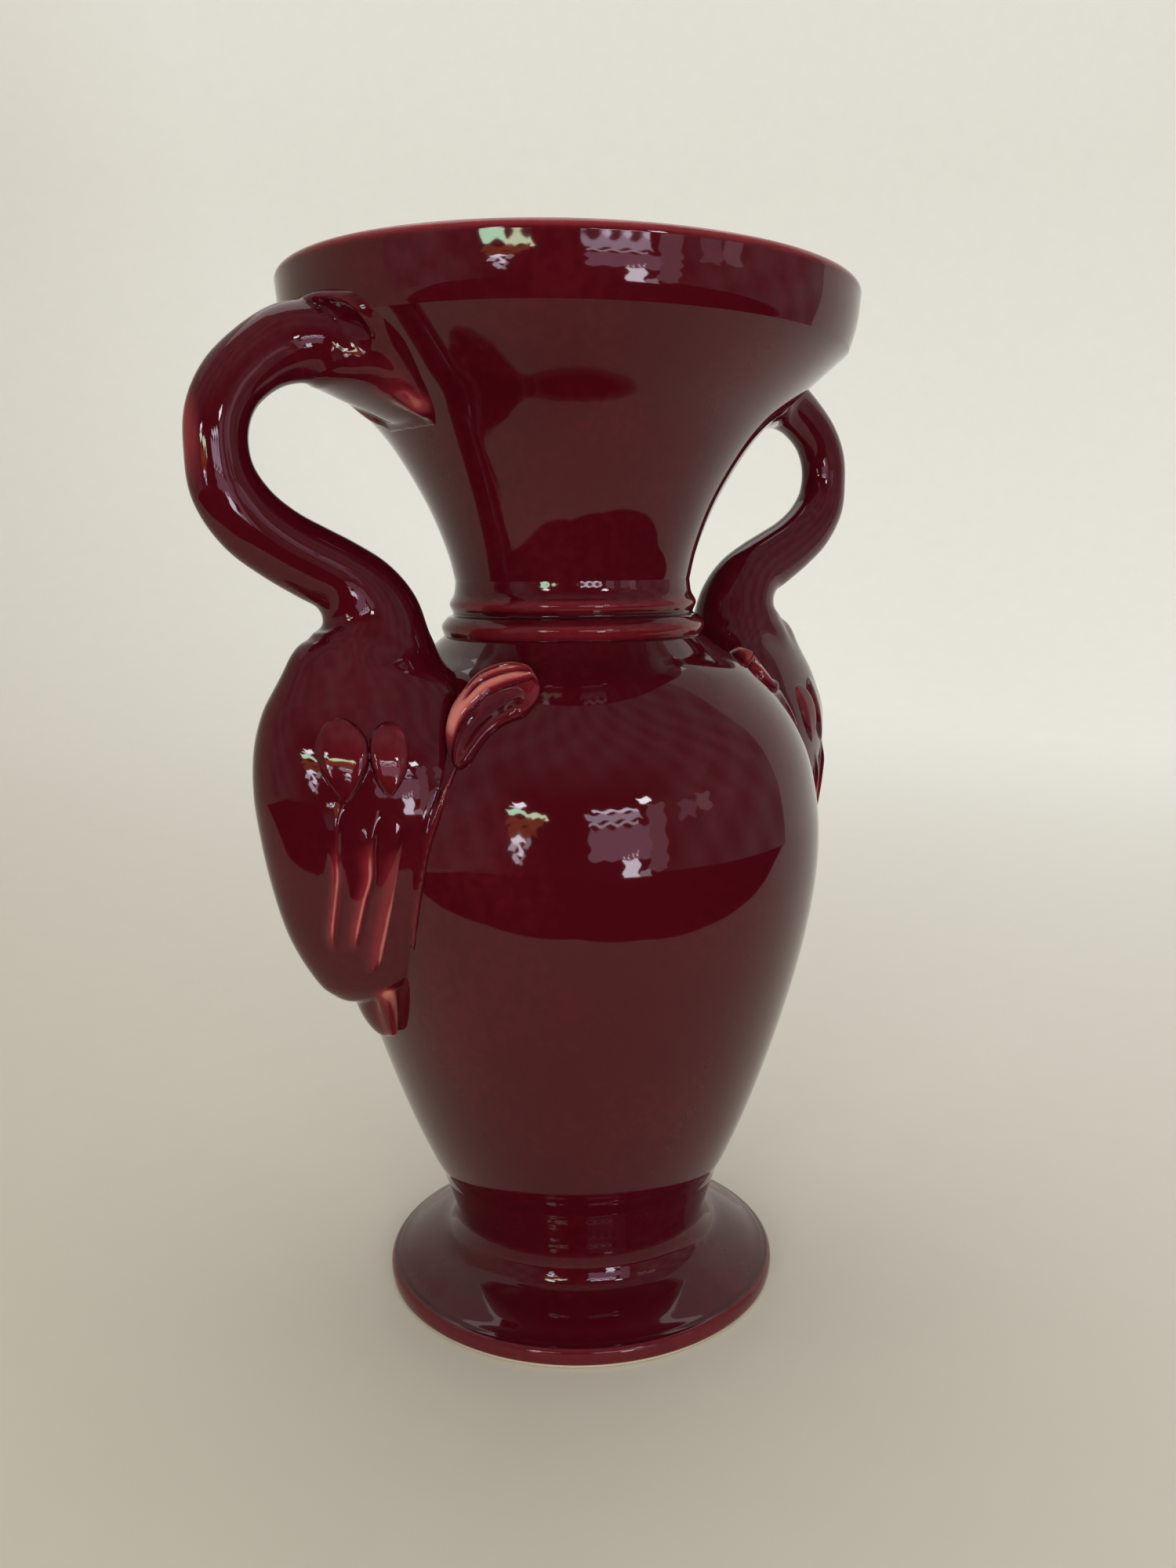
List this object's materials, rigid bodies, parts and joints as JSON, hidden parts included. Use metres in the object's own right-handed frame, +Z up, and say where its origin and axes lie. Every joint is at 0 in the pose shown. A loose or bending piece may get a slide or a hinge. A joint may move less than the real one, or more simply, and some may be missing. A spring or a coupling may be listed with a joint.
{
  "type": "baluster vase with swan handles",
  "caption": "Glazed baluster vase on a spreading foot with a collared neck, a flared mouth and swan handles from shoulder to rim; holds flowers or stands as an ornament.",
  "frame": {"origin": "on the table, under the middle of the foot", "axes": "+Z up through the mouth, the swans stand at +X and -X, the front looks along -Y"},
  "size_m": [0.1948, 0.1396, 0.256],
  "materials": {
    "foot": "gloss oxblood glaze, breaking pink on edges, bare clay on the standing ring",
    "body": "gloss oxblood glaze",
    "collar": "gloss oxblood glaze",
    "neck": "gloss oxblood glaze",
    "rim_band": "gloss oxblood glaze, breaking pink on the lip",
    "swan_right": "gloss oxblood glaze, breaking pink on ridges",
    "swan_left": "gloss oxblood glaze, breaking pink on ridges",
    "wing_right_back": "gloss oxblood glaze, breaking pink on ridges",
    "wing_right_front": "gloss oxblood glaze, breaking pink on ridges",
    "wing_left_front": "gloss oxblood glaze, breaking pink on ridges",
    "wing_left_back": "gloss oxblood glaze, breaking pink on ridges",
    "plume_right_back": "gloss oxblood glaze, breaking pink on ridges",
    "plume_right_front": "gloss oxblood glaze, breaking pink on ridges",
    "plume_left_front": "gloss oxblood glaze, breaking pink on ridges",
    "plume_left_back": "gloss oxblood glaze, breaking pink on ridges"
  },
  "bodies": {
    "root": {"foot": "foot", "body": "body", "collar": "collar", "neck": "neck", "rim_band": "rim_band", "swan_right": "swan_right", "swan_left": "swan_left", "wing_right_back": "wing_right_back", "wing_right_front": "wing_right_front", "wing_left_front": "wing_left_front", "wing_left_back": "wing_left_back", "plume_right_back": "plume_right_back", "plume_right_front": "plume_right_front", "plume_left_front": "plume_left_front", "plume_left_back": "plume_left_back"}
  },
  "joints": []
}
